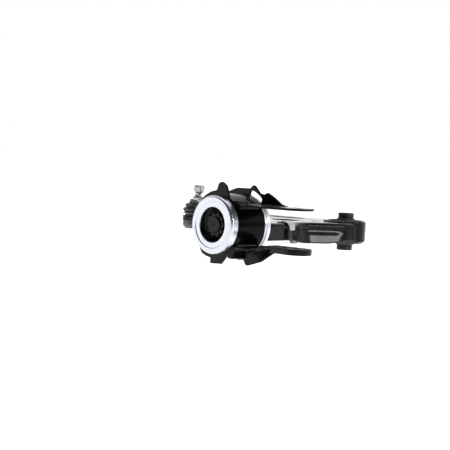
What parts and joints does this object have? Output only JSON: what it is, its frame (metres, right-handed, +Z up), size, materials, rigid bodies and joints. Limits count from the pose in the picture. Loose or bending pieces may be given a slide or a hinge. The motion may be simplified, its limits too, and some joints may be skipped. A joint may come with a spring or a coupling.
{
  "type": "suspension control arm",
  "caption": "Left front lower suspension control arm with a rear bushing in its bracket, an upright front bushing and a ball joint with a clamp stud.",
  "frame": {"origin": "middle of the front bushing's bore", "axes": "+X forward on the vehicle, along the rear bushing; +Y outboard, towards the ball joint; +Z up, along the front bushing's bore"},
  "size_m": [0.2965, 0.4233, 0.1061],
  "materials": {
    "black_coat": "semi-gloss",
    "black_gloss_paint": "gloss",
    "zinc_ring": "satin",
    "bushing_rubber": "matte",
    "black_plastic": "matte",
    "dark_steel": "satin",
    "strap_steel": "satin",
    "housing_steel": "satin",
    "white_plastic": "matte",
    "bright_steel": "polished",
    "boot_rubber": "matte",
    "clip_wire": "satin"
  },
  "bodies": {
    "bracket": {"rear_tube": "black_gloss_paint", "rear_end_ring": "zinc_ring", "front_end_ring": "zinc_ring", "rear_rubber": "bushing_rubber", "channel_ring": "black_plastic", "bracket_upper": "black_coat", "bracket_lower": "black_coat", "bracket_welds": "black_coat"},
    "arm": {"rear_inner_sleeve": "dark_steel", "pin_washer": "dark_steel", "pin_nut": "dark_steel", "arm_pin": "dark_steel", "arm_stamping": "black_coat", "closing_plate": "black_coat", "arm_welds": "black_coat", "front_eye": "black_coat", "front_can": "dark_steel", "front_rubber": "bushing_rubber", "ball_housing": "housing_steel", "bearing_seat": "white_plastic", "housing_cover": "housing_steel", "dust_boot": "boot_rubber", "boot_clip_lower": "clip_wire", "cable_clip": "strap_steel", "clip_rivet": "strap_steel", "clip_hook": "strap_steel"},
    "front_sleeve_body": {"front_sleeve": "dark_steel"},
    "boot_top": {"boot_clip_upper": "clip_wire"},
    "stud": {"ball_stud": "bright_steel"}
  },
  "joints": [
    {"name": "arm_swing", "type": "hinge", "parent": "bracket", "child": "arm", "pos_m": [0, 0, 0], "axis": [0.999, 0, -0.0438], "range_deg": [-16, 14], "stiffness_Nm_per_rad": 80, "deforming": ["rear_rubber"]},
    {"name": "front_sleeve_tilt", "type": "hinge", "parent": "arm", "child": "front_sleeve_body", "pos_m": [0, 0, 0], "axis": [0.999, 0, -0.0438], "range_deg": [-14, 16], "deforming": ["front_rubber"]},
    {"name": "stud_lean", "type": "hinge", "parent": "arm", "child": "boot_top", "pos_m": [-0.025, 0.285, -0.003], "axis": [1, 0, 0], "range_deg": [-30, 15], "deforming": ["dust_boot"]},
    {"name": "stud_spin", "type": "hinge", "parent": "boot_top", "child": "stud", "pos_m": [-0.025, 0.285, -0.003], "axis": [0, -0.1736, 0.9848], "continuous": true}
  ],
  "couplings": [
    {"joint": "front_sleeve_tilt", "follows": "arm_swing", "ratio": -1}
  ]
}
